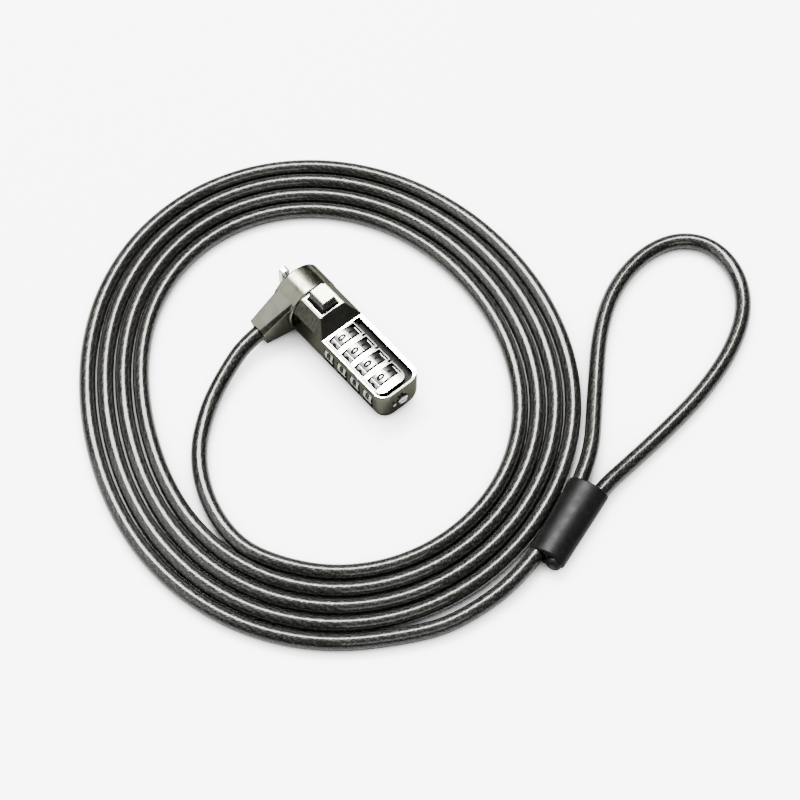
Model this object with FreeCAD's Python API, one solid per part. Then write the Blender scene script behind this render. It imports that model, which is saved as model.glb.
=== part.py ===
"""Laptop cable lock: a four-dial lock head in a swivel collar, on a coiled steel cable with a loop.

Millimetres, +Z up. The lock's axis lies along X with the nose at -X. The origin is on the floor,
under the middle of the lock head's box. Sizes along the lock are measured from the nose plane,
and y and h are measured from the lock's axis.
"""
import FreeCAD
import Part
import math
import os

V = FreeCAD.Vector

# Placing the lock's axis in the frame
NOSE_X = -20.25
AXIS_Y = 3.975
AXIS_Z = 7.95

# Swivel collar and cable boss
COLLAR_R = 7.95
COLLAR_LEN = 8.1
COLLAR_EDGE = 0.5
BOSS_TIP_Y = -15.9
BOSS_ROOT_Y = -3.0
BOSS_TIP = ((1.0, 0.3), (5.1, 0.3), (6.4, -1.1), (6.4, -5.0), (5.6, -7.2), (1.0, -7.2))
BOSS_ROOT = ((0.4, 6.8), (7.1, 6.8), (7.7, 5.9), (7.7, -5.5), (7.4, -7.5), (0.4, -7.5))
BOSS_RAKE = 1.6
BOSS_EDGE = 0.4
CABLE_EXIT_X = 3.9
CABLE_EXIT_H = -2.45

# Nose disc and journal that the collar turns on
DISC_R = 6.0
DISC_LEN = 1.2
JOURNAL_R = 5.0
TURN_GAP = 0.3
NECK_X = COLLAR_LEN + TURN_GAP

# T-bar that enters the security slot
TBAR_TIP_X = -5.0
TBAR_HEAD = 1.5
TBAR_HALF_LEN = 3.3
TBAR_HALF_WIDTH = 1.25
SPINDLE_R = 1.25
SPINDLE_END_X = 10.0
TENON_R = 0.8
NUT_X0 = 8.8
NUT_R = 1.75

# Lock body
HALF_WIDTH = 6.8
BODY_BOTTOM = -7.95
NECK_TOP = 7.5
NECK_FLAT = 4.0
NECK_FACET_H = 3.9
BOTTOM_ROUND = 4.4
RIM_H = 4.0
SLOPE_X0 = 16.4
SLOPE_X1 = 20.2
COVER_X = 42.5
TAIL_X = 44.7
TAIL_ROUND = 3.0
RIM_W = 0.55
RIM_RIGHT = 1.3

# Dials
DIAL_X0 = 22.9
DIAL_PITCH = 5.27
DIAL_COUNT = 4
DIAL_R = 5.75
DIAL_W = 3.0
DIAL_Y = -1.2
DIAL_H = -1.2
POCKET_R = 6.2
POCKET_FRONT = 1.75
POCKET_BACK = 2.1
SLEEVE_R = 2.6
SHAFT_R = 1.2
SHAFT_X0 = 20.6
SHAFT_X1 = 41.9
SHAFT_GAP = 0.05
NOTCHES = 10
NOTCH_R = 0.42
DETENT_CHANNEL = (20.6, 41.4, 2.2, 4.4, -6.8, -5.6)
DETENT_STRIP = (20.7, 41.3, 2.5, 4.2, -6.8, -6.4)

# Number plate
PLATE_X0 = 20.9
PLATE_X1 = 43.1
PLATE_Y0 = -5.9
PLATE_Y1 = 3.5
PLATE_CROWN = 4.45
PLATE_EDGE = 3.75
PLATE_SLOT = (-5.5, 3.2)
PLATE_FLOOR = 2.9
PLATE_FRAME = 0.35
PLATE_NOTCH = 1.2
CHANNEL_Y0 = 4.25
CHANNEL_FLOOR = 2.0

# Release button, guard carriage and code screw
BUTTON_TOP = 11.2
BUTTON_X = 12.5
BEZEL = (8.8, 16.3, -3.5, 3.5)
BEZEL_TOP = 7.75
BEZEL_RIM = 0.35
TRAVEL = 2.0
PIN_R = 0.75
PIN_Y = 2.6
PIN_TIP_X = -1.6
CARRIAGE_X0 = 10.4
CARRIAGE_X1 = 16.0
CARRIAGE_CHAMBER = (10.1, 18.6, -3.9, 3.9, -1.8, 3.3)
SPRING_CHAMBER = (18.0, 20.3, 1.7, -1.0, 0.0)
BAR_ARM_CHAMBER = (13.6, 18.6, 3.5, 6.1, -1.8, 1.3)
BAR_CHAMBER = (15.5, 42.3, 4.6, 6.1, -1.8, 1.3)
WELL_HALF_X = 3.5
WELL_HALF_Y = 2.95
FLANGE_HALF_X = 3.9
FLANGE_HALF_Y = 3.5
SCREW_H = -1.0
SCREW_R = 1.4
TAIL_PIN = (-2.7, -1.4)
TAIL_PIN_R = 0.55

# Cable
CABLE_R = 2.2
COIL_X = 30.6
COIL_Y = -12.9
COIL_START = -40.0
COIL_TURNS = 4
COIL_MEAN = 51.3
COIL_PITCH = 4.82
COIL_WAVES = ((1, -2.3, 2.6), (2, 3.2, -3.0), (3, -0.9, 0.6))
PINCH = 0.4
PINCH_AT = 20.0
PINCH_SPREAD = 28.0
SPIRAL_STEPS = 48

# Loop ferrule: an oval sleeve over both legs of the loop
FERRULE_LOW = (102.6, -1.2)
FERRULE_HIGH = (94.75, 20.85)
FERRULE_W_LOW = 10.0
FERRULE_W_HIGH = 11.2
FERRULE_T = 6.8
LEG_OFFSET = 2.25
CRIMP_W = 9.4
CRIMP_T = 5.0


def at(x, y, h):
    """Point in the frame for a place on the lock: x from the nose, y and h from the axis."""
    return V(NOSE_X + x, AXIS_Y + y, AXIS_Z + h)


def rod(x0, x1, radius, y=0.0, h=0.0):
    """Cylinder along the lock's axis."""
    return Part.makeCylinder(radius, x1 - x0, at(x0, y, h), V(1, 0, 0))


def block(x0, x1, y0, y1, h0, h1):
    """Box between limits along the lock, across it and up."""
    return Part.makeBox(x1 - x0, y1 - y0, h1 - h0, at(x0, y0, h0))


def side_prism(points, y0, y1):
    """Prism across the lock from a polygon of (x, h) points."""
    corners = [at(x, y0, h) for x, h in points]
    face = Part.Face(Part.makePolygon(corners + corners[:1]))
    return face.extrude(V(0, y1 - y0, 0))


def end_prism(points, x0, x1):
    """Prism along the lock from a polygon of (y, h) points."""
    corners = [at(x0, y, h) for y, h in points]
    face = Part.Face(Part.makePolygon(corners + corners[:1]))
    return face.extrude(V(x1 - x0, 0, 0))


def write(name, shape):
    """Export one node as a single clean solid."""
    solids = shape.Solids
    if len(solids) != 1 or not shape.isValid():
        raise ValueError("%s has %d solids, valid %s" % (name, len(solids), shape.isValid()))
    solids[0].exportStep(os.path.join("parts", name + ".step"))
    print("%-18s %9.2f mm3" % (name, solids[0].Volume))


# ---------------------------------------------------------------- collar


def boss_section(y, outline):
    """Six-sided section across the boss at one y, from (x, h) corners."""
    corners = [at(x, y, h) for x, h in outline]
    return Part.makePolygon(corners + corners[:1])


def make_collar():
    """Swivel collar with the cable boss, bored for the journal and counterbored for the disc."""
    cap = rod(0, COLLAR_LEN, COLLAR_R)
    rims = [e for e in cap.Edges if abs(e.Length - 2 * math.pi * COLLAR_R) < 0.01]
    cap = cap.makeFillet(COLLAR_EDGE, rims)
    boss = Part.makeLoft([boss_section(BOSS_ROOT_Y, BOSS_ROOT),
                          boss_section(BOSS_TIP_Y, BOSS_TIP)], True, True)
    ridges = [e for e in boss.Edges if e.BoundBox.YLength > 10]
    boss = boss.makeFillet(BOSS_EDGE, ridges)
    bore = rod(-1, COLLAR_LEN + 1, JOURNAL_R + TURN_GAP)
    counterbore = rod(-1, DISC_LEN + TURN_GAP, DISC_R + TURN_GAP)
    cable_bore = Part.makeCylinder(CABLE_R + 0.03, 9.4,
                                   at(CABLE_EXIT_X, BOSS_TIP_Y - 0.5, CABLE_EXIT_H), V(0, 1, 0))
    top = BOSS_TIP[0][1]
    bottom = BOSS_TIP[-1][1]
    raked = end_prism([(BOSS_TIP_Y - 1, top), (BOSS_TIP_Y, top),
                       (BOSS_TIP_Y + BOSS_RAKE, bottom), (BOSS_TIP_Y + BOSS_RAKE, -9),
                       (BOSS_TIP_Y - 1, -9)], -1, COLLAR_LEN + 1)
    boss = boss.cut(raked)
    pin_hole = Part.makeCylinder(0.6, 6.5, at(CABLE_EXIT_X, -8.2, -7.5), V(0, 0, 1))
    return cap.fuse(boss).cut(bore).cut(counterbore).cut(cable_bore).cut(pin_hole).removeSplitter()


def make_cable_anchor():
    """Crimped stop on the cable's end, drilled for the anchor pin."""
    stop = Part.makeCylinder(CABLE_R, 2.4, at(CABLE_EXIT_X, -9.5, CABLE_EXIT_H), V(0, 1, 0))
    pin_hole = Part.makeCylinder(0.6, 6.5, at(CABLE_EXIT_X, -8.2, -7.5), V(0, 0, 1))
    return stop.cut(pin_hole)


def make_anchor_pin():
    """Pin up through the underside of the boss into the anchor."""
    return Part.makeCylinder(0.6, 5.9, at(CABLE_EXIT_X, -8.2, -6.9), V(0, 0, 1))


# ---------------------------------------------------------------- lock body


def body_outline():
    """Faceted section of the neck: flat top, sloping shoulders, upright sides."""
    return [(-HALF_WIDTH, BODY_BOTTOM), (HALF_WIDTH, BODY_BOTTOM), (HALF_WIDTH, NECK_FACET_H),
            (NECK_FLAT, NECK_TOP), (-NECK_FLAT, NECK_TOP), (-HALF_WIDTH, NECK_FACET_H)]


def body_blank():
    """Outside of the lock body, from the neck to the rounded tail."""
    blank = end_prism(body_outline(), NECK_X, TAIL_X)
    lower = [e for e in blank.Edges
             if abs(e.BoundBox.ZMax - AXIS_Z - BODY_BOTTOM) < 0.01 and e.BoundBox.XLength > 5]
    blank = blank.makeFillet(BOTTOM_ROUND, lower)
    above = side_prism([(SLOPE_X0, NECK_TOP), (SLOPE_X0, 12), (TAIL_X + 5, 12),
                        (TAIL_X + 5, RIM_H), (SLOPE_X1, RIM_H)], -10, 10)
    blank = blank.cut(above)
    end_edges = [e for e in blank.Edges
                 if abs(e.BoundBox.XMin - NOSE_X - TAIL_X) < 0.01 and e.BoundBox.XLength < 0.01
                 and e.BoundBox.ZMin < AXIS_Z + RIM_H - 0.01]
    return blank.makeFillet(TAIL_ROUND, end_edges)


def window_recess():
    """Sunk field round the number plate, with rounded tail corners."""
    left = RIM_W - HALF_WIDTH
    right = HALF_WIDTH - RIM_RIGHT
    field = block(SLOPE_X1 + 0.5, TAIL_X - RIM_W, left, right, PLATE_FLOOR, RIM_H + 3)
    upright = [e for e in field.Edges if e.BoundBox.ZLength > 1 and e.BoundBox.XMax > NOSE_X + 43]
    field = field.makeFillet(TAIL_ROUND - RIM_W, upright)
    channel = block(SLOPE_X1 + 1.0, TAIL_X - 2.2, CHANNEL_Y0, right, CHANNEL_FLOOR, RIM_H)
    return field.fuse(channel)


def dial_centre(index):
    """Distance of a dial from the nose."""
    return DIAL_X0 + DIAL_PITCH * index


def make_body_shell(blank):
    """Lock body with its journal, dial pockets, carriage chamber, button well and bar channel."""
    body = blank.cut(block(COVER_X, TAIL_X + 1, -9, 9, -9, 9))
    body = body.fuse(rod(DISC_LEN, NECK_X + 0.5, JOURNAL_R))
    body = body.cut(window_recess())
    for i in range(DIAL_COUNT):
        x = dial_centre(i)
        body = body.cut(rod(x - POCKET_FRONT, x + POCKET_BACK, POCKET_R, DIAL_Y, DIAL_H))
    body = body.cut(rod(SHAFT_X0, COVER_X + 1, SHAFT_R, DIAL_Y, DIAL_H))
    body = body.cut(block(*DETENT_CHANNEL))
    body = body.cut(rod(0, CARRIAGE_X0, SPINDLE_R))
    body = body.cut(rod(NUT_X0, CARRIAGE_X0, NUT_R))
    for side in (-1, 1):
        body = body.cut(rod(0, CARRIAGE_X0, PIN_R + 0.2, side * PIN_Y))
    body = body.cut(block(*CARRIAGE_CHAMBER))
    body = body.cut(rod(*SPRING_CHAMBER))
    body = body.cut(block(*BAR_ARM_CHAMBER))
    body = body.cut(block(*BAR_CHAMBER))
    body = body.cut(block(BUTTON_X - WELL_HALF_X, BUTTON_X + WELL_HALF_X,
                          -WELL_HALF_Y, WELL_HALF_Y, 3.2, 9))
    body = body.cut(block(BUTTON_X - FLANGE_HALF_X, BUTTON_X + FLANGE_HALF_X,
                          -FLANGE_HALF_Y, FLANGE_HALF_Y, 3.2, 6.3))
    body = body.cut(rod(42.0, COVER_X + 1, TAIL_PIN_R, TAIL_PIN[0], TAIL_PIN[1]))
    return body.removeSplitter()


def make_tail_cover(blank):
    """End cover, following the body's outline, with the reset screw's seat."""
    cover = blank.common(block(COVER_X, TAIL_X + 1, -9, 9, -9, 9))
    cover = cover.cut(window_recess())
    cover = cover.cut(rod(COVER_X - 1, TAIL_X + 1, 1.2, 0, SCREW_H))
    cover = cover.cut(rod(TAIL_X - 0.9, TAIL_X + 1, SCREW_R + TURN_GAP, 0, SCREW_H))
    pin_hole = rod(COVER_X - 1, TAIL_X + 1, TAIL_PIN_R, TAIL_PIN[0], TAIL_PIN[1])
    return cover.cut(pin_hole).removeSplitter()


def make_nose_disc():
    """Disc flush with the collar's front that keeps the collar on the journal."""
    disc = rod(0, DISC_LEN, DISC_R).cut(rod(-1, 3, SPINDLE_R))
    for side in (-1, 1):
        disc = disc.cut(rod(-1, 3, PIN_R + 0.2, side * PIN_Y))
    return disc


def make_t_bar():
    """Cross bar of the T-shaped head, with rounded ends and a hole for the spindle's tenon."""
    arm = block(TBAR_TIP_X, TBAR_TIP_X + TBAR_HEAD, -TBAR_HALF_WIDTH, TBAR_HALF_WIDTH,
                -TBAR_HALF_LEN, TBAR_HALF_LEN)
    ends = [e for e in arm.Edges if e.BoundBox.XLength > 1]
    arm = arm.makeFillet(0.8, ends)
    return arm.cut(rod(TBAR_TIP_X - 1, TBAR_TIP_X + TBAR_HEAD + 1, TENON_R))


def make_spindle():
    """Round spindle with a tenon riveted in the cross bar."""
    shoulder = TBAR_TIP_X + TBAR_HEAD
    return rod(shoulder, SPINDLE_END_X, SPINDLE_R).fuse(rod(TBAR_TIP_X, shoulder, TENON_R))


def plate_section_face():
    """Crowned section of the number plate, standing across the lock."""
    middle = (PLATE_Y0 + PLATE_Y1) / 2
    left = at(PLATE_X0, PLATE_Y0, PLATE_EDGE)
    right = at(PLATE_X0, PLATE_Y1, PLATE_EDGE)
    crown = Part.Arc(left, at(PLATE_X0, middle, PLATE_CROWN), right).toShape()
    low_right = at(PLATE_X0, PLATE_Y1, PLATE_FLOOR)
    low_left = at(PLATE_X0, PLATE_Y0, PLATE_FLOOR)
    sides = [Part.LineSegment(right, low_right).toShape(),
             Part.LineSegment(low_right, low_left).toShape(),
             Part.LineSegment(low_left, left).toShape()]
    return Part.Face(Part.Wire([crown] + sides))


def make_number_plate():
    """Crowned plate with a bar between every two dials, each notched at its inner end."""
    plate = plate_section_face().extrude(V(PLATE_X1 - PLATE_X0, 0, 0))
    upright = [e for e in plate.Edges
               if e.BoundBox.XLength < 0.01 and e.BoundBox.YLength < 0.01
               and e.BoundBox.XMax > NOSE_X + PLATE_X1 - 0.01]
    plate = plate.makeFillet(2.4, upright)
    for i in range(DIAL_COUNT):
        x = dial_centre(i)
        plate = plate.cut(rod(x - POCKET_FRONT, x + POCKET_BACK, POCKET_R, DIAL_Y, DIAL_H))
        plate = plate.cut(block(x - POCKET_FRONT, x + POCKET_BACK, PLATE_SLOT[0], PLATE_SLOT[1], 0, 9))
    for i in range(DIAL_COUNT - 1):
        x0 = dial_centre(i) + POCKET_BACK + PLATE_FRAME
        x1 = dial_centre(i + 1) - POCKET_FRONT - PLATE_FRAME
        plate = plate.cut(block(x0, x1, PLATE_Y1 - PLATE_NOTCH, PLATE_Y1 + 1, 0, 9))
    return plate.removeSplitter()


def make_button_bezel():
    """Thin bright frame round the button's well."""
    x0, x1, y0, y1 = BEZEL
    frame = block(x0, x1, y0, y1, NECK_TOP, BEZEL_TOP)
    inner = block(x0 + BEZEL_RIM, x1 - BEZEL_RIM, y0 + BEZEL_RIM, y1 - BEZEL_RIM, NECK_TOP - 1, 9)
    return frame.cut(inner)


def make_return_spring():
    """Coil spring between the carriage and the end of its chamber."""
    x0 = CARRIAGE_X1 + 0.32
    x1 = 20.0
    radius = 1.3
    wire = 0.28
    turns = 3
    helix = Part.makeHelix((x1 - x0) / turns, x1 - x0, radius)
    profile = Part.Wire([Part.Circle(V(radius, 0, 0), V(0, 1, 0), wire).toShape()])
    spring = Part.Wire(helix).makePipeShell([profile], True, True)
    spring.rotate(V(0, 0, 0), V(0, 1, 0), 90)
    spring.translate(at(x0, -1.0, 0))
    return spring


# ---------------------------------------------------------------- dials


def make_dial_ring(x):
    """Number ring with a shallow notch between neighbouring digits."""
    ring = rod(x - DIAL_W / 2, x + DIAL_W / 2, DIAL_R, DIAL_Y, DIAL_H)
    ring = ring.cut(rod(x - DIAL_W, x + DIAL_W, SLEEVE_R, DIAL_Y, DIAL_H))
    for i in range(NOTCHES):
        turn = math.radians(360.0 / NOTCHES * (i + 0.5) - 10.0)
        y = DIAL_Y + (DIAL_R + 0.2) * math.sin(turn)
        h = DIAL_H + (DIAL_R + 0.2) * math.cos(turn)
        ring = ring.cut(rod(x - DIAL_W, x + DIAL_W, NOTCH_R, y, h))
    return ring


def make_code_sleeve(x):
    """Sleeve inside a dial, running on the shaft, with the gate flat for the code."""
    sleeve = rod(x - DIAL_W / 2, x + DIAL_W / 2, SLEEVE_R, DIAL_Y, DIAL_H)
    sleeve = sleeve.cut(rod(x - DIAL_W, x + DIAL_W, SHAFT_R + SHAFT_GAP, DIAL_Y, DIAL_H))
    gate = block(x - 0.5, x + 0.5, DIAL_Y + 2.0, DIAL_Y + 4, DIAL_H - 0.6, DIAL_H + 0.6)
    return sleeve.cut(gate)


# ---------------------------------------------------------------- button and carriage


def make_release_button():
    """Tapered push button with a retaining flange and a 45 degree cam foot."""
    low = block_wire(BUTTON_X, 3.15, 2.6, 6.0)
    high = block_wire(BUTTON_X, 2.75, 2.05, BUTTON_TOP - 0.5)
    cap = Part.makeLoft([low, high], True, True)
    flange = block(BUTTON_X - 3.6, BUTTON_X + 3.6, -3.2, 3.2, 5.3, 6.1)
    foot = side_prism([(11.0, 1.0), (11.8, 1.0), (14.2, 3.4), (14.2, 5.4), (11.0, 5.4)], -1.3, 1.3)
    return cap.fuse(flange).fuse(foot).removeSplitter()


def block_wire(x, half_x, half_y, h):
    """Rectangle lying level at height h."""
    corners = [at(x - half_x, -half_y, h), at(x + half_x, -half_y, h),
               at(x + half_x, half_y, h), at(x - half_x, half_y, h)]
    return Part.makePolygon(corners + corners[:1])


def make_button_cap():
    """Bright pad on the button's top."""
    pad = block(BUTTON_X - 2.75, BUTTON_X + 2.75, -2.05, 2.05, BUTTON_TOP - 0.5, BUTTON_TOP)
    top = [e for e in pad.Edges if e.BoundBox.ZMin > AXIS_Z + BUTTON_TOP - 0.01]
    return pad.makeChamfer(0.2, top)


def make_guard_carriage():
    """Block that the button's cam drives back, with an arm out to the locking bar."""
    carriage = block(CARRIAGE_X0, CARRIAGE_X1, -3.6, 3.6, -1.5, 2.9)
    channel = side_prism([(8.95, -2.0), (8.95, 4.0), (14.95, 4.0)], -1.55, 1.55)
    arm = block(14.0, CARRIAGE_X1, 3.0, 5.8, -1.5, 1.0)
    carriage = carriage.cut(channel).fuse(arm)
    for side in (-1, 1):
        carriage = carriage.cut(rod(CARRIAGE_X0 - 1, 12.6, PIN_R, side * PIN_Y))
    return carriage.removeSplitter()


def make_guard_pin(side):
    """Guard pin that fills the slot beside the T-bar's neck."""
    pin = rod(PIN_TIP_X, 12.6, PIN_R, side * PIN_Y)
    tip = [e for e in pin.Edges if e.BoundBox.XMax < NOSE_X + PIN_TIP_X + 0.01]
    return pin.makeFillet(0.3, tip)


def make_locking_bar():
    """Bar along the dials, toothed at each code sleeve."""
    bar = block(CARRIAGE_X1, 40.0, 5.05, 5.8, -1.4, 0.9)
    for i in range(DIAL_COUNT - 1):
        x = dial_centre(i) + DIAL_PITCH / 2
        bar = bar.cut(block(x - 0.8, x + 0.8, 4.0, 5.3, -2, 2))
    return bar


def make_code_screw():
    """Slotted reset screw in the tail."""
    head = rod(TAIL_X - 0.6, TAIL_X + 0.8, SCREW_R, 0, SCREW_H)
    rim = [e for e in head.Edges if e.BoundBox.XMin > NOSE_X + TAIL_X + 0.75]
    head = head.makeFillet(0.25, rim)
    shank = rod(COVER_X + 0.1, TAIL_X - 0.3, 0.9, 0, SCREW_H)
    slot = block(TAIL_X + 0.2, TAIL_X + 1, -2.5, 2.5, SCREW_H - 0.3, SCREW_H + 0.3)
    return head.fuse(shank).cut(slot).removeSplitter()


# ---------------------------------------------------------------- cable


def ground(x, y, z):
    """Point of the cable's route: x from the nose, y from the axis, z above the floor."""
    return V(NOSE_X + x, AXIS_Y + y, z)


def coil_radius(degrees):
    """Radius of the cable's centreline; the turns lie closer where the ferrule presses on them."""
    turn = math.radians(degrees)
    away = (degrees - PINCH_AT + 180.0) % 360.0 - 180.0
    pitch = COIL_PITCH - PINCH * math.exp(-(away / PINCH_SPREAD) ** 2)
    radius = COIL_MEAN + pitch * degrees / 360.0
    for order, cosine, sine in COIL_WAVES:
        radius += cosine * math.cos(order * turn) + sine * math.sin(order * turn)
    return radius


def coil_point(degrees, offset=0.0, z=CABLE_R):
    """Point on the coil's spiral, pushed outwards by an offset."""
    turn = math.radians(degrees)
    radius = coil_radius(degrees) + offset
    return ground(COIL_X + radius * math.cos(turn), COIL_Y + radius * math.sin(turn), z)


def coil_direction(degrees):
    """Unit direction of the spiral at an angle."""
    ahead = coil_point(degrees + 0.5)
    behind = coil_point(degrees - 0.5)
    return (ahead - behind).normalize()


def spiral_outline(first, offset):
    """Closed outline of one turn at z 0, with a radial step where it ends."""
    points = []
    for i in range(SPIRAL_STEPS + 1):
        points.append(coil_point(first + 360.0 * i / SPIRAL_STEPS, offset, 0.0))
    curve = Part.BSplineCurve()
    curve.interpolate(points)
    step = Part.LineSegment(points[-1], points[0]).toShape()
    return Part.Wire([curve.toShape(), step])


def make_coil():
    """Flat body of the four turns, from the inner edge of the first to the outer of the last."""
    last = COIL_START + 360.0 * (COIL_TURNS - 1)
    outer = Part.Face(spiral_outline(last, CABLE_R)).extrude(V(0, 0, 2 * CABLE_R))
    inner = Part.Face(spiral_outline(COIL_START, -CABLE_R)).extrude(V(0, 0, 2 * CABLE_R))
    return outer.cut(inner)


def ferrule_frame():
    """Foot, unit direction and right-hand side of the ferrule on the floor plan."""
    low = ground(FERRULE_LOW[0], FERRULE_LOW[1], FERRULE_T / 2)
    high = ground(FERRULE_HIGH[0], FERRULE_HIGH[1], FERRULE_T / 2)
    along = (high - low).normalize()
    side = V(along.y, -along.x, 0)
    return low, high, along, side


def lead_route():
    """Cable from its anchor in the boss to the inside of the coil."""
    end = coil_point(COIL_START)
    route = [at(CABLE_EXIT_X, -9.5, CABLE_EXIT_H), at(CABLE_EXIT_X, -19.0, CABLE_EXIT_H)]
    route += [ground(7.2, -29.6, 3.6), ground(12.3, -39.9, 2.3), ground(21.4, -50.3, CABLE_R),
              ground(34.6, -56.9, CABLE_R), ground(48.6, -58.3, CABLE_R)]
    route += [end - coil_direction(COIL_START) * 9.5, end]
    return route


def tail_route():
    """Cable from the outside of the coil to the middle of the ferrule."""
    low, high, along, side = ferrule_frame()
    start_angle = COIL_START + 360.0 * COIL_TURNS
    start = coil_point(start_angle)
    middle = (low + high) * 0.5 - side * LEG_OFFSET
    route = [start, start + coil_direction(start_angle) * 10.5, ground(101.4, -29.5, 2.5)]
    return route + [low - side * LEG_OFFSET - along * 6.0, middle]


def loop_route():
    """Security loop, from the middle of the ferrule round and back into it."""
    low, high, along, side = ferrule_frame()
    middle = (low + high) * 0.5
    plan = [(74.8, 41.4), (61.3, 55.3), (53.7, 67.4), (50.6, 80.9), (52.9, 91.9), (60.4, 97.9),
            (70.9, 97.4), (80.9, 91.0), (88.1, 79.3), (92.6, 64.3), (94.6, 50.2), (95.7, 37.4)]
    route = [middle - side * LEG_OFFSET, high - side * LEG_OFFSET + along * 5.0]
    route += [ground(x, y, CABLE_R) for x, y in plan]
    return route + [high + side * LEG_OFFSET + along * 3.2, middle + side * LEG_OFFSET]


def cable_tube(name, route):
    """Round tube along straight runs joined by tangent arcs; prints every arc's radius."""
    edges = []
    radii = []
    here = route[0]
    for i in range(1, len(route) - 1):
        back = route[i - 1] - route[i]
        forth = route[i + 1] - route[i]
        shorter = min(back.Length, forth.Length)
        back.normalize()
        forth.normalize()
        turn = math.pi - back.getAngle(forth)
        reach = 0.45 * shorter
        radius = reach / math.tan(turn / 2)
        radii.append(radius)
        start = route[i] + back * reach
        end = route[i] + forth * reach
        inward = (back + forth).normalize()
        middle = route[i] + inward * (radius / math.cos(turn / 2) - radius)
        edges.append(Part.LineSegment(here, start).toShape())
        edges.append(Part.Arc(start, middle, end).toShape())
        here = end
    edges.append(Part.LineSegment(here, route[-1]).toShape())
    path = Part.Wire(edges)
    direction = route[1] - route[0]
    profile = Part.Wire([Part.Circle(route[0], direction, CABLE_R).toShape()])
    tube = path.makePipeShell([profile], True, False)
    section = math.pi * CABLE_R ** 2
    print("%s length %.1f, volume over section x length %.4f, radii %s" % (
        name, path.Length, tube.Volume / (section * path.Length),
        " ".join("%.1f" % r for r in radii)))
    return tube


def obround(start, along, side, length, width, thickness):
    """Flattened bar with half-round sides, along a direction on the floor plan."""
    half_flat = (width - thickness) / 2
    radius = thickness / 2
    up = V(0, 0, 1)
    corner_a = start - side * half_flat + up * radius
    corner_b = start + side * half_flat + up * radius
    corner_c = start + side * half_flat - up * radius
    corner_d = start - side * half_flat - up * radius
    edges = [Part.LineSegment(corner_a, corner_b).toShape(),
             Part.Arc(corner_b, start + side * (half_flat + radius), corner_c).toShape(),
             Part.LineSegment(corner_c, corner_d).toShape(),
             Part.Arc(corner_d, start - side * (half_flat + radius), corner_a).toShape()]
    return Part.Face(Part.Wire(edges)).extrude(along * length)


def leg_channel(sign, start, end):
    """Round channel for one leg of the loop, between two distances along the ferrule."""
    low, high, along, side = ferrule_frame()
    return Part.makeCylinder(CABLE_R, end - start, low + side * LEG_OFFSET * sign + along * start,
                             along)


def make_ferrule():
    """Soft black sleeve over both legs, open where the legs enter, a little wider at the loop."""
    low, high, along, side = ferrule_frame()
    length = (high - low).Length
    ovals = []
    for centre, width in ((low, FERRULE_W_LOW), (high, FERRULE_W_HIGH)):
        oval = Part.Ellipse(centre + side * (width / 2), centre + V(0, 0, FERRULE_T / 2), centre)
        ovals.append(Part.Wire([oval.toShape()]))
    sleeve = Part.makeLoft(ovals, True, True)
    ends = [e for e in sleeve.Edges if abs(e.tangentAt(e.FirstParameter).dot(along)) < 0.01]
    sleeve = sleeve.makeFillet(0.5, ends)
    sleeve = sleeve.cut(leg_channel(-1, -1, length + 1)).cut(leg_channel(1, -1, length + 1))
    return sleeve.cut(crimp_blank())


def crimp_blank():
    """Outside of the crimp buried in the sleeve."""
    low, high, along, side = ferrule_frame()
    length = (high - low).Length
    return obround(low + along * (length / 2 - 5), along, side, 10.0, CRIMP_W, CRIMP_T)


def make_crimp():
    """Metal crimp that grips both legs."""
    length = 26.0
    return crimp_blank().cut(leg_channel(-1, 0, length)).cut(leg_channel(1, 0, length))


def make_end_plug():
    """Covered end of the cable, showing at the lower end of the ferrule."""
    low, high, along, side = ferrule_frame()
    half = (high - low).Length / 2
    plug = leg_channel(1, -1.6, half)
    tip = [e for e in plug.Edges if (e.BoundBox.Center - low).dot(along) < -0.5]
    return plug.makeFillet(1.4, tip)


def main():
    os.makedirs("parts", exist_ok=True)
    write("swivel_collar", make_collar())
    write("cable_anchor", make_cable_anchor())
    write("anchor_pin", make_anchor_pin())
    write("cable_lead", cable_tube("cable_lead", lead_route()))
    write("cable_coil", make_coil())
    write("cable_tail", cable_tube("cable_tail", tail_route()))
    write("cable_loop", cable_tube("cable_loop", loop_route()))
    write("loop_ferrule", make_ferrule())
    write("ferrule_crimp", make_crimp())
    write("loop_end_plug", make_end_plug())
    blank = body_blank()
    write("body_shell", make_body_shell(blank))
    write("tail_cover", make_tail_cover(blank))
    write("tail_pin", rod(42.0, TAIL_X + 0.35, TAIL_PIN_R, TAIL_PIN[0], TAIL_PIN[1]))
    write("nose_disc", make_nose_disc())
    write("t_bar", make_t_bar())
    write("spindle", make_spindle())
    write("spindle_nut", rod(NUT_X0, SPINDLE_END_X, NUT_R).cut(rod(NUT_X0 - 1, SPINDLE_END_X + 1, SPINDLE_R)))
    write("number_plate", make_number_plate())
    write("button_bezel", make_button_bezel())
    write("dial_shaft", rod(SHAFT_X0, SHAFT_X1, SHAFT_R, DIAL_Y, DIAL_H))
    write("detent_strip", block(*DETENT_STRIP))
    write("return_spring", make_return_spring())
    for i in range(DIAL_COUNT):
        write("dial_ring_%d" % (i + 1), make_dial_ring(dial_centre(i)))
        write("code_sleeve_%d" % (i + 1), make_code_sleeve(dial_centre(i)))
    write("release_button", make_release_button())
    write("button_cap", make_button_cap())
    write("guard_carriage", make_guard_carriage())
    write("guard_pin_1", make_guard_pin(-1))
    write("guard_pin_2", make_guard_pin(1))
    write("locking_bar", make_locking_bar())
    write("code_screw", make_code_screw())


main()
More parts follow.
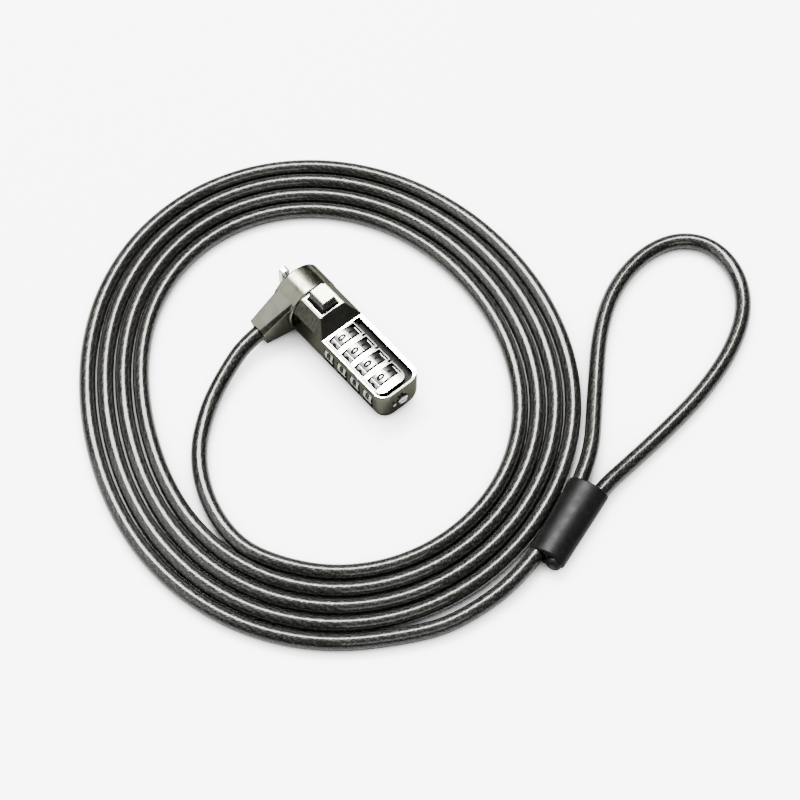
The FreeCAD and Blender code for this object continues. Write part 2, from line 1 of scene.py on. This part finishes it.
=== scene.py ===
"""Looks for the laptop cable lock: camera, light, the coiled cable, numerals and materials."""
import bmesh
import bpy
import math
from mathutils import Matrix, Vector


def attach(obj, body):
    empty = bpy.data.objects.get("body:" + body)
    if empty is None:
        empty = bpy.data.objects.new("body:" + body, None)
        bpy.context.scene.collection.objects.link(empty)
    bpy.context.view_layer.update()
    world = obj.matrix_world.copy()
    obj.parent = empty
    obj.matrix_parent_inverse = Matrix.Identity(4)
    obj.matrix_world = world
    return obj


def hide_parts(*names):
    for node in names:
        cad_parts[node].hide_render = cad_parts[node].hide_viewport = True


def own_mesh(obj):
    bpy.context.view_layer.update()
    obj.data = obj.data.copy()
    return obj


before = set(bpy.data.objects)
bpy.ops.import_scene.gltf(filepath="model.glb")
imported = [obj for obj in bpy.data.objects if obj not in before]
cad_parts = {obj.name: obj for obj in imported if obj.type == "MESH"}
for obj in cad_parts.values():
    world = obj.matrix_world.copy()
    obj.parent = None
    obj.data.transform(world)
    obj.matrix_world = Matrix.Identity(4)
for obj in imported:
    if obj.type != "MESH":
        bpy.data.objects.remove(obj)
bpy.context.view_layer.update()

MM = 0.001
NOSE_X = -20.25
AXIS_Y = 3.975
AXIS_Z = 7.95


def at(x, y, h):
    """Point in metres for a place on the lock, as in the CAD: x from the nose, y and h from the axis."""
    return Vector(((NOSE_X + x) * MM, (AXIS_Y + y) * MM, (AXIS_Z + h) * MM))


def ground(x, y, z):
    """Point of the cable's route in metres, z above the floor."""
    return Vector(((NOSE_X + x) * MM, (AXIS_Y + y) * MM, z * MM))


# ---------------------------------------------------------------- camera

CAMERA_AZIMUTH = 49.7
CAMERA_ELEVATION = 60.0
CAMERA_DISTANCE = 0.618
CAMERA_LENS = 105.0
SENSOR_WIDTH = 36.0
LOOK_AT = ground(41.8, 1.8, 0.0)


def add_camera():
    """Long-lens camera above the near side of the lock."""
    a = math.radians(CAMERA_AZIMUTH)
    e = math.radians(CAMERA_ELEVATION)
    back = Vector((math.sin(a) * math.cos(e), -math.cos(a) * math.cos(e), math.sin(e)))
    data = bpy.data.cameras.new("camera")
    data.lens = CAMERA_LENS
    data.sensor_width = SENSOR_WIDTH
    data.clip_start = 0.01
    data.clip_end = 20.0
    camera = bpy.data.objects.new("camera", data)
    camera.location = LOOK_AT + back * CAMERA_DISTANCE
    camera.rotation_euler = back.to_track_quat("Z", "Y").to_euler()
    bpy.context.scene.collection.objects.link(camera)
    bpy.context.scene.camera = camera


# ---------------------------------------------------------------- material helpers


class Nodes:
    """Short way to build one node material."""

    def __init__(self, name):
        self.material = bpy.data.materials.new(name)
        self.material.use_nodes = True
        self.tree = self.material.node_tree
        self.shader = self.tree.nodes["Principled BSDF"]

    def add(self, kind, **values):
        """New node with some of its own settings."""
        node = self.tree.nodes.new(kind)
        for key, value in values.items():
            setattr(node, key, value)
        return node

    def join(self, source, target):
        self.tree.links.new(source, target)

    def set(self, **values):
        """Plain values of the shader's inputs, with _ for a space in an input's name."""
        for key, value in values.items():
            self.shader.inputs[key.replace("_", " ")].default_value = value

    def noise(self, scale, detail=3.0, stretch=None):
        """Noise over the object's own coordinates, in features per metre."""
        coordinates = self.add("ShaderNodeTexCoord").outputs["Object"]
        if stretch:
            mapping = self.add("ShaderNodeMapping")
            mapping.inputs["Scale"].default_value = stretch
            self.join(coordinates, mapping.inputs["Vector"])
            coordinates = mapping.outputs["Vector"]
        noise = self.add("ShaderNodeTexNoise")
        noise.inputs["Scale"].default_value = scale
        noise.inputs["Detail"].default_value = detail
        self.join(coordinates, noise.inputs["Vector"])
        return noise.outputs["Fac"]

    def ramp(self, source, low, high, first=0.3, last=0.7):
        """Colour ramp between two greys or colours."""
        ramp = self.add("ShaderNodeValToRGB")
        ramp.color_ramp.elements[0].position = first
        ramp.color_ramp.elements[1].position = last
        for element, value in zip(ramp.color_ramp.elements, (low, high)):
            colour = value if isinstance(value, (tuple, list)) else (value, value, value)
            element.color = (*colour[:3], 1.0)
        self.join(source, ramp.inputs["Fac"])
        return ramp.outputs["Color"]

    def bump(self, height, strength, distance):
        """Fine relief, with distance in metres."""
        bump = self.add("ShaderNodeBump")
        bump.inputs["Strength"].default_value = strength
        bump.inputs["Distance"].default_value = distance
        self.join(height, bump.inputs["Height"])
        self.join(bump.outputs["Normal"], self.shader.inputs["Normal"])

    def math(self, operation, first, second=None, third=None):
        """One arithmetic operation on numbers or other nodes' outputs."""
        node = self.add("ShaderNodeMath", operation=operation)
        for index, value in enumerate((first, second, third)):
            if value is None:
                continue
            if isinstance(value, (int, float)):
                node.inputs[index].default_value = value
            else:
                self.join(value, node.inputs[index])
        return node.outputs[0]


def metal(name, colour, dark, roughness, grain=(1.0, 1.0, 1.0), metallic=1.0, edge=(1.0, 1.0, 1.0)):
    """Plated metal: slight colour variation, smudged roughness, a fine grain, and a tint at edges."""
    n = Nodes(name)
    n.set(Metallic=metallic, Specular_Tint=(*edge, 1.0))
    broad = n.noise(260.0, 4.0)
    n.join(n.ramp(broad, dark, colour, 0.32, 0.62), n.shader.inputs["Base Color"])
    smudge = n.noise(520.0, 5.0, grain)
    n.join(n.ramp(smudge, roughness * 0.8, roughness * 1.3), n.shader.inputs["Roughness"])
    n.bump(n.noise(5200.0, 2.0, grain), 0.2, 0.00002)
    return n.material


# ---------------------------------------------------------------- cable

CABLE_R = 2.2
CABLE_SIDES = 24
CABLE_START = (3.9, -9.5, -2.45)
CABLE_OUT = (3.9, -19.0, -2.45)
LEAD_PLAN = ((7.2, -29.6, 3.6), (12.3, -39.9, 2.3), (21.4, -50.3, CABLE_R), (34.6, -56.9, CABLE_R),
             (48.6, -58.3, CABLE_R))
TAIL_BEND = (101.4, -29.5, 2.5)
LOOP_PLAN = ((74.8, 41.4), (61.3, 55.3), (53.7, 67.4), (50.6, 80.9), (52.9, 91.9), (60.4, 97.9),
             (70.9, 97.4), (80.9, 91.0), (88.1, 79.3), (92.6, 64.3), (94.6, 50.2), (95.7, 37.4))
COIL_X = 30.6
COIL_Y = -12.9
COIL_START = -40.0
COIL_TURNS = 4
COIL_MEAN = 51.3
COIL_PITCH = 4.82
COIL_WAVES = ((1, -2.3, 2.6), (2, 3.2, -3.0), (3, -0.9, 0.6))
PINCH = 0.4
PINCH_AT = 20.0
PINCH_SPREAD = 28.0
COIL_STEP = 15.0
FERRULE_LOW = (102.6, -1.2)
FERRULE_HIGH = (94.75, 20.85)
FERRULE_T = 6.8
LEG_OFFSET = 2.25
LEG_LOW = 6.0
LEG_HIGH = 5.0
END_LEG_HIGH = 1.0

STRANDS_ALONG = 4.0
STRANDS_AROUND = 9.0
WIRES_ALONG = 11.0
WIRES_AROUND = 14.0


def coil_radius(degrees):
    """Radius of the coiled cable's centreline; the turns lie closer where the ferrule presses on them."""
    turn = math.radians(degrees)
    away = (degrees - PINCH_AT + 180.0) % 360.0 - 180.0
    pitch = COIL_PITCH - PINCH * math.exp(-(away / PINCH_SPREAD) ** 2)
    radius = COIL_MEAN + pitch * degrees / 360.0
    for order, cosine, sine in COIL_WAVES:
        radius += cosine * math.cos(order * turn) + sine * math.sin(order * turn)
    return radius


def coil_point(degrees, stretch):
    """Place on the coil's centreline, further out where stretch is above 1."""
    turn = math.radians(degrees)
    radius = coil_radius(degrees) * stretch
    return ground(COIL_X + radius * math.cos(turn), COIL_Y + radius * math.sin(turn), CABLE_R)


def ferrule_frame():
    """The ferrule's two ends on its middle line, its direction and the direction across it."""
    low = ground(FERRULE_LOW[0], FERRULE_LOW[1], FERRULE_T / 2)
    high = ground(FERRULE_HIGH[0], FERRULE_HIGH[1], FERRULE_T / 2)
    along = (high - low).normalized()
    return low, high, along, Vector((along.y, -along.x, 0.0))


def cable_route():
    """Control points from the anchor in the boss, round the coil, to the loop's end in the ferrule."""
    low, high, along, side = ferrule_frame()
    leg = side * LEG_OFFSET * MM
    points = [at(*CABLE_START), at(*CABLE_OUT)]
    points += [ground(*place) for place in LEAD_PLAN]
    # A curve of second degree cuts its corners; this puts the coil's curve back on its centreline.
    stretch = 8.0 / (6.0 + 2.0 * math.cos(math.radians(COIL_STEP)))
    steps = int(360.0 * COIL_TURNS / COIL_STEP)
    points += [coil_point(COIL_START + COIL_STEP * i, stretch) for i in range(-1, steps + 2)]
    points += [ground(*TAIL_BEND), low - leg - along * LEG_LOW * MM, high - leg + along * LEG_HIGH * MM]
    points += [ground(x, y, CABLE_R) for x, y in LOOP_PLAN]
    points += [high + leg - along * END_LEG_HIGH * MM, (low + high) / 2 + leg]
    return points


def spline_path(points):
    """Points along the smooth curve of the control points."""
    data = bpy.data.curves.new("cable_line", "CURVE")
    data.dimensions = "3D"
    data.resolution_u = 12
    spline = data.splines.new("NURBS")
    spline.points.add(len(points) - 1)
    for target, point in zip(spline.points, points):
        target.co = (*point, 1.0)
    spline.order_u = 3
    spline.use_endpoint_u = True
    holder = bpy.data.objects.new("cable_line", data)
    bpy.context.scene.collection.objects.link(holder)
    line = bpy.data.meshes.new_from_object(holder)
    path = [v.co.copy() for v in line.vertices]
    bpy.data.objects.remove(holder)
    bpy.data.meshes.remove(line)
    return path


def tube(name, path, radius, sides):
    """Round tube along a path, with its unrolled surface as the UV map: along and around."""
    up = Vector((0.0, 0.0, 1.0))
    vertices = []
    travelled = [0.0]
    for i, point in enumerate(path):
        before = path[max(i - 1, 0)]
        after = path[min(i + 1, len(path) - 1)]
        direction = (after - before).normalized()
        side = direction.cross(up).normalized()
        top = side.cross(direction)
        if i:
            travelled.append(travelled[-1] + (point - path[i - 1]).length)
        for k in range(sides):
            angle = 2 * math.pi * k / sides
            vertices.append(point + side * (radius * math.cos(angle)) + top * (radius * math.sin(angle)))
    faces = []
    spots = []
    for i in range(len(path) - 1):
        for k in range(sides):
            n = (k + 1) % sides
            faces.append((i * sides + k, i * sides + n, (i + 1) * sides + n, (i + 1) * sides + k))
            spots += [(travelled[i], k / sides), (travelled[i], (k + 1) / sides),
                      (travelled[i + 1], (k + 1) / sides), (travelled[i + 1], k / sides)]
    faces.append(tuple(range(sides - 1, -1, -1)))
    faces.append(tuple((len(path) - 1) * sides + k for k in range(sides)))
    spots += [(0.0, k / sides) for k in range(sides - 1, -1, -1)]
    spots += [(travelled[-1], k / sides) for k in range(sides)]
    mesh = bpy.data.meshes.new(name)
    mesh.from_pydata(vertices, [], faces)
    layer = mesh.uv_layers.new(name="unrolled")
    for loop, (u, v) in zip(layer.data, spots):
        loop.uv = (u / (2 * math.pi * radius), v)
    mesh.shade_smooth()
    mesh.validate()
    piece = bpy.data.objects.new(name, mesh)
    bpy.context.scene.collection.objects.link(piece)
    return piece


def cable_material():
    """Twisted steel strands, with finer wires across them, under a glossy smoked sheath."""
    n = Nodes("smoked_cable")
    uv = n.add("ShaderNodeUVMap", uv_map="unrolled")
    parts = n.add("ShaderNodeSeparateXYZ")
    n.join(uv.outputs["UV"], parts.inputs["Vector"])
    along = parts.outputs["X"]
    around = parts.outputs["Y"]
    strands = n.math("ADD", n.math("MULTIPLY", along, STRANDS_ALONG),
                     n.math("MULTIPLY", around, STRANDS_AROUND))
    strand_wave = n.math("ABSOLUTE", n.math("SINE", n.math("MULTIPLY", strands, math.pi)))
    wires = n.math("SUBTRACT", n.math("MULTIPLY", along, WIRES_ALONG),
                   n.math("MULTIPLY", around, WIRES_AROUND))
    wire_wave = n.math("ABSOLUTE", n.math("SINE", n.math("MULTIPLY", wires, math.pi)))
    wire_share = n.math("ADD", n.math("MULTIPLY", wire_wave, 0.65), 0.35)
    weave = n.math("MULTIPLY", n.math("POWER", strand_wave, 0.6), wire_share)
    flecks = n.math("MULTIPLY_ADD", n.noise(1500.0, 4.0), 3.4, -1.2)
    mixed = n.math("MULTIPLY", weave, flecks)
    n.join(n.ramp(mixed, (0.001, 0.001, 0.001), (0.045, 0.045, 0.033), 0.12, 0.9),
           n.shader.inputs["Base Color"])
    n.join(n.ramp(n.noise(900.0, 3.0), 0.3, 0.5), n.shader.inputs["Roughness"])
    n.bump(weave, 0.35, 0.00012)
    n.set(Metallic=0.7, Coat_Weight=1.0, Coat_Roughness=0.06, Coat_IOR=1.34)
    return n.material


# ---------------------------------------------------------------- numerals

DIAL_X0 = 22.9
DIAL_PITCH = 5.27
DIAL_R = 5.75
DIAL_Y = -1.2
DIAL_H = -1.2
DIAL_COUNT = 4
DIGIT_H = 2.5
DIGIT_BOLD = 0.065
DIGIT_BANDS = 12
DIGIT_LIFT = 0.025
DIGIT_NARROW = 0.92
DIGIT_STEP = 36.0
READING_ANGLE = -10.0


def digit_mesh(text):
    """Flat outline of one numeral, 1 unit high, centred."""
    data = bpy.data.curves.new("digit", "FONT")
    data.body = text
    data.size = 1.0
    data.resolution_u = 4
    data.fill_mode = "BOTH"
    data.offset = DIGIT_BOLD
    holder = bpy.data.objects.new("digit", data)
    bpy.context.scene.collection.objects.link(holder)
    mesh = bpy.data.meshes.new_from_object(holder)
    work = bmesh.new()
    work.from_mesh(mesh)
    for band in range(DIGIT_BANDS):
        level = Vector((0.0, (band + 0.5) / DIGIT_BANDS, 0.0))
        bmesh.ops.bisect_plane(work, geom=work.verts[:] + work.edges[:] + work.faces[:],
                               plane_co=level, plane_no=Vector((0.0, 1.0, 0.0)))
    work.to_mesh(mesh)
    work.free()
    xs = [v.co.x for v in mesh.vertices]
    ys = [v.co.y for v in mesh.vertices]
    height = max(ys) - min(ys)
    centre = Vector(((max(xs) + min(xs)) / 2, (max(ys) + min(ys)) / 2, 0.0))
    points = [(v.co - centre) / height for v in mesh.vertices]
    faces = [tuple(p.vertices) for p in mesh.polygons]
    bpy.data.objects.remove(holder)
    bpy.data.meshes.remove(mesh)
    return points, faces


def numerals(index, digits):
    """All ten numerals wrapped round one dial."""
    x = DIAL_X0 + DIAL_PITCH * index
    vertices = []
    faces = []
    for number, (points, polygons) in enumerate(digits):
        start = len(vertices)
        middle = math.radians(READING_ANGLE + DIGIT_STEP * number)
        for p in points:
            angle = middle + p.y * DIGIT_H / DIAL_R
            reach = DIAL_R + DIGIT_LIFT
            vertices.append(at(x + p.x * DIGIT_H * DIGIT_NARROW, DIAL_Y + reach * math.sin(angle),
                               DIAL_H + reach * math.cos(angle)))
        faces += [tuple(start + i for i in polygon) for polygon in polygons]
    mesh = bpy.data.meshes.new("numerals_%d" % (index + 1))
    mesh.from_pydata(vertices, [], faces)
    piece = bpy.data.objects.new("numerals_%d" % (index + 1), mesh)
    bpy.context.scene.collection.objects.link(piece)
    return piece


# ---------------------------------------------------------------- materials of the CAD nodes

SLOPE_X1 = 20.2
TAIL_X = 44.7
HALF_WIDTH = 6.8
BOTTOM_H = -7.95
LOWER_R = 4.4
TAIL_R = 3.0
SKIN = 0.22
RIM_H = 4.0
RIM_END_X = 43.95
RIM_BLEND = 0.2
NEAR = 0.05
FACING = 0.9
PLATE_FACING = 0.6
SILVER = (0.9, 0.9, 0.85)
NICKEL = (0.115, 0.114, 0.092)

def rubber_material():
    """Soft black sleeve with a faint moulded texture."""
    n = Nodes("ferrule_black")
    n.join(n.ramp(n.noise(900.0, 4.0), (0.002, 0.002, 0.002), (0.005, 0.005, 0.0045)),
           n.shader.inputs["Base Color"])
    n.join(n.ramp(n.noise(400.0, 3.0), 0.34, 0.46), n.shader.inputs["Roughness"])
    n.set(Specular_IOR_Level=0.11)
    n.bump(n.noise(3800.0, 3.0), 0.2, 0.00004)
    return n.material


def button_material():
    """Gloss black moulding."""
    n = Nodes("button_black")
    n.join(n.ramp(n.noise(700.0, 3.0), (0.010, 0.010, 0.010), (0.022, 0.022, 0.021)),
           n.shader.inputs["Base Color"])
    n.join(n.ramp(n.noise(900.0, 3.0), 0.18, 0.3), n.shader.inputs["Roughness"])
    n.set(Specular_IOR_Level=0.3)
    n.bump(n.noise(3000.0, 2.0), 0.1, 0.00002)
    return n.material


def recess_material():
    """Near-black metal as painted shade inside the window, the pockets and on the dials' sides."""
    n = Nodes("black_painted_shade")
    n.join(n.ramp(n.noise(900.0, 3.0), (0.004, 0.004, 0.0035), (0.009, 0.009, 0.008)),
           n.shader.inputs["Base Color"])
    n.join(n.ramp(n.noise(1200.0, 3.0), 0.5, 0.7), n.shader.inputs["Roughness"])
    n.set(Specular_IOR_Level=0.12)
    return n.material


def paint_material():
    """Black filling of the numerals."""
    n = Nodes("numeral_black")
    n.join(n.ramp(n.noise(2500.0, 3.0), (0.002, 0.002, 0.002), (0.006, 0.006, 0.006)),
           n.shader.inputs["Base Color"])
    n.join(n.ramp(n.noise(1500.0, 3.0), 0.6, 0.8), n.shader.inputs["Roughness"])
    n.set(Specular_IOR_Level=0.1)
    return n.material


def tail_rim_material():
    """Bright rim beside the number plate, which turns to dark nickel before the rounded tail."""
    n = Nodes("tail_rim")
    n.set(Metallic=0.9, Specular_Tint=(0.6, 0.6, 0.58, 1.0))
    place = n.add("ShaderNodeSeparateXYZ")
    n.join(n.add("ShaderNodeTexCoord").outputs["Object"], place.inputs[0])
    past = n.math("MULTIPLY_ADD", place.outputs["X"], 1.0 / (RIM_BLEND * MM),
                  -(NOSE_X + RIM_END_X) / RIM_BLEND + 0.5)
    n.join(n.ramp(past, SILVER, NICKEL), n.shader.inputs["Base Color"])
    n.join(n.ramp(n.noise(520.0, 5.0, (1, 6, 1)), 0.22, 0.34), n.shader.inputs["Roughness"])
    return n.material


def dress(node, *materials):
    """Give one CAD node its materials, the first of them all over, and return its faces."""
    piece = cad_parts[node]
    piece.data.materials.clear()
    for material in materials:
        piece.data.materials.append(material)
    return piece.data.polygons


def is_outside(x, y, h):
    """True on the body's outer walls and on its rounded lower and tail corners."""
    across = abs(y) - (HALF_WIDTH - LOWER_R)
    low = math.hypot(max(across, 0.0), min(h - (BOTTOM_H + LOWER_R), 0.0))
    tail = math.hypot(max(abs(y) - (HALF_WIDTH - TAIL_R), 0.0), max(x - (TAIL_X - TAIL_R), 0.0))
    return low > LOWER_R - SKIN or tail > TAIL_R - SKIN


def dress_body(node, nickel, rim, black):
    """Dark nickel outside, bright machined rim, near-black painted shade in the window and pockets."""
    for polygon in dress(node, nickel, rim, black):
        x = polygon.center.x / MM - NOSE_X
        y = polygon.center.y / MM - AXIS_Y
        h = polygon.center.z / MM - AXIS_Z
        if x > SLOPE_X1 - NEAR and abs(h - RIM_H) < NEAR and polygon.normal.z > FACING:
            polygon.material_index = 1
        # Painted shade: each inner face behind the slope, in the window and the pockets, takes the
        # near-black material.
        elif x > SLOPE_X1 and not is_outside(x, y, h):
            polygon.material_index = 2


def dress_dial(node, silver, black):
    """Silver number surface; near-black painted shade on the sides."""
    for polygon in dress(node, silver, black):
        # Painted shade: faces turned along the lock's axis take the near-black material.
        if abs(polygon.normal.x) > FACING:
            polygon.material_index = 1


def dress_plate(node, silver, black):
    """Silver top; near-black painted shade on the edges that do not face up."""
    for polygon in dress(node, silver, black):
        # Painted shade: every face that does not face up takes the near-black material.
        if polygon.normal.z < PLATE_FACING:
            polygon.material_index = 1


def dress_nodes():
    """Materials of the CAD nodes; the return spring's copy takes over the one given here."""
    collar = metal("collar_nickel", (0.155, 0.153, 0.120), (0.120, 0.118, 0.093), 0.22, (1, 1, 5),
                   edge=(0.45, 0.45, 0.43))
    body = metal("body_nickel", NICKEL, (0.085, 0.084, 0.068), 0.2, (5, 1, 1),
                 edge=(0.4, 0.4, 0.39))
    silver = metal("plate_silver", SILVER, (0.8, 0.8, 0.76), 0.3, (1, 6, 1), 0.85)
    dial = metal("dial_silver", (0.36, 0.36, 0.34), (0.29, 0.29, 0.27), 0.26)
    steel = metal("turned_steel", (0.78, 0.78, 0.76), (0.66, 0.66, 0.64), 0.2, (1, 1, 6))
    brass = metal("turned_brass", (0.78, 0.6, 0.3), (0.66, 0.5, 0.24), 0.28)
    cap = metal("button_silver", (0.34, 0.35, 0.29), (0.27, 0.28, 0.23), 0.3, (1, 6, 1))
    black = button_material()
    # Near-black painted shade for the window, the pockets, the dials' sides and the plate's edges.
    painted_shade = recess_material()
    rubber = rubber_material()
    groups = {
        "swivel_collar nose_disc": collar,
        "button_bezel": silver,
        "button_cap": cap,
        "code_sleeve_1 code_sleeve_2 code_sleeve_3 code_sleeve_4": brass,
        "cable_anchor anchor_pin ferrule_crimp tail_pin t_bar spindle spindle_nut dial_shaft": steel,
        "detent_strip return_spring guard_carriage guard_pin_1 guard_pin_2 locking_bar code_screw": steel,
        "release_button": black,
        "loop_ferrule loop_end_plug": rubber,
    }
    for names, material in groups.items():
        for node in names.split():
            dress(node, material)
    dress_body("body_shell", body, silver, painted_shade)
    dress_body("tail_cover", body, tail_rim_material(), painted_shade)
    dress_plate("number_plate", silver, painted_shade)
    for index in range(DIAL_COUNT):
        dress_dial("dial_ring_%d" % (index + 1), dial, painted_shade)


# ---------------------------------------------------------------- return spring


def add_return_spring():
    """The carriage's spring again, as a separate piece attached to the lock body."""
    spring = bpy.data.objects.new("return_coil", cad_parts["return_spring"].data.copy())
    bpy.context.scene.collection.objects.link(spring)
    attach(spring, "lock_body")
    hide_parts("return_spring")
    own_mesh(spring)


# ---------------------------------------------------------------- studio

FLOOR_HALF = 4.0
FLOOR_DROP = 0.0002
FLOOR_GLOW = 5.5
SHADE_REACH = 0.012
WORLD_LOW = (0.05, 0.05, 0.052, 1.0)
WORLD_HIGH = (0.5, 0.5, 0.53, 1.0)


def add_floor():
    """Pale plain floor that glows to the camera only; ambient occlusion cuts the glow into painted shade
    under and between close pieces.
    """
    mesh = bpy.data.meshes.new("floor")
    corners = [(x * FLOOR_HALF, y * FLOOR_HALF, 0) for x, y in ((-1, -1), (1, -1), (1, 1), (-1, 1))]
    mesh.from_pydata(corners, [], [(0, 1, 2, 3)])
    floor = bpy.data.objects.new("floor", mesh)
    floor.location.z = -FLOOR_DROP
    n = Nodes("floor_white")
    n.join(n.ramp(n.noise(3.0, 2.0), 0.6, 0.63), n.shader.inputs["Base Color"])
    n.set(Roughness=0.9, Emission_Color=(0.97, 0.96, 1.0, 1.0))
    seen = n.add("ShaderNodeLightPath").outputs["Is Camera Ray"]
    # Painted shade: the glow fades where ambient occlusion finds pieces close by, under them and in the
    # gaps between the cable's turns.
    near = n.add("ShaderNodeAmbientOcclusion", samples=8)
    near.inputs["Distance"].default_value = SHADE_REACH
    clear = n.ramp(near.outputs["AO"], 0.0, 1.0, 0.3, 0.8)
    glow = n.math("MULTIPLY", clear, n.math("MULTIPLY", seen, FLOOR_GLOW))
    n.join(glow, n.shader.inputs["Emission Strength"])
    n.set(Specular_IOR_Level=0.1)
    mesh.materials.append(n.material)
    bpy.context.scene.collection.objects.link(floor)


def area_light(name, direction, distance, size_x, size_y, energy):
    """White soft box aimed at the middle of the object."""
    data = bpy.data.lights.new(name, "AREA")
    data.shape = "RECTANGLE"
    data.size = size_x
    data.size_y = size_y
    data.energy = energy
    light = bpy.data.objects.new(name, data)
    light.location = LOOK_AT + direction.normalized() * distance
    light.rotation_euler = direction.to_track_quat("Z", "Y").to_euler()
    bpy.context.scene.collection.objects.link(light)


def add_lights():
    """One broad key behind the object, weak fills in front and to the left, a dim gradient world."""
    a = math.radians(CAMERA_AZIMUTH)
    away = Vector((-math.sin(a), math.cos(a), 0.0))
    right = Vector((math.cos(a), math.sin(a), 0.0))
    up = Vector((0.0, 0.0, 1.0))
    area_light("key", away * 0.42 - right * 0.10 + up * 0.9, distance=1.3, size_x=0.9, size_y=0.34,
               energy=72.0)
    area_light("fill", -away * 0.9 + right * 0.35 + up * 0.8, distance=1.6, size_x=1.0, size_y=0.6,
               energy=7.0)
    area_light("side", -right * 0.9 - away * 0.2 + up * 0.62, distance=1.3, size_x=1.2, size_y=1.2,
               energy=13.0)
    world = bpy.data.worlds.new("studio")
    world.use_nodes = True
    tree = world.node_tree
    background = tree.nodes["Background"]
    coordinates = tree.nodes.new("ShaderNodeTexCoord")
    parts = tree.nodes.new("ShaderNodeSeparateXYZ")
    ramp = tree.nodes.new("ShaderNodeValToRGB")
    ramp.color_ramp.elements[0].position = 0.35
    ramp.color_ramp.elements[0].color = WORLD_LOW
    ramp.color_ramp.elements[1].position = 0.95
    ramp.color_ramp.elements[1].color = WORLD_HIGH
    tree.links.new(coordinates.outputs["Generated"], parts.inputs["Vector"])
    tree.links.new(parts.outputs["Z"], ramp.inputs["Fac"])
    tree.links.new(ramp.outputs["Color"], background.inputs["Color"])
    background.inputs["Strength"].default_value = 1.0
    bpy.context.scene.world = world


# ---------------------------------------------------------------- build

add_camera()
path = spline_path(cable_route())
cable = tube("steel_cable", path, CABLE_R * MM, CABLE_SIDES)
cable.data.materials.append(cable_material())
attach(cable, "collar_and_cable")
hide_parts("cable_lead", "cable_coil", "cable_tail", "cable_loop")
dress_nodes()
add_return_spring()
digits = [digit_mesh(str(number)) for number in range(10)]
paint = paint_material()
for index in range(DIAL_COUNT):
    marks = numerals(index, digits)
    marks.data.materials.append(paint)
    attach(marks, "dial_%d" % (index + 1))
add_floor()
add_lights()
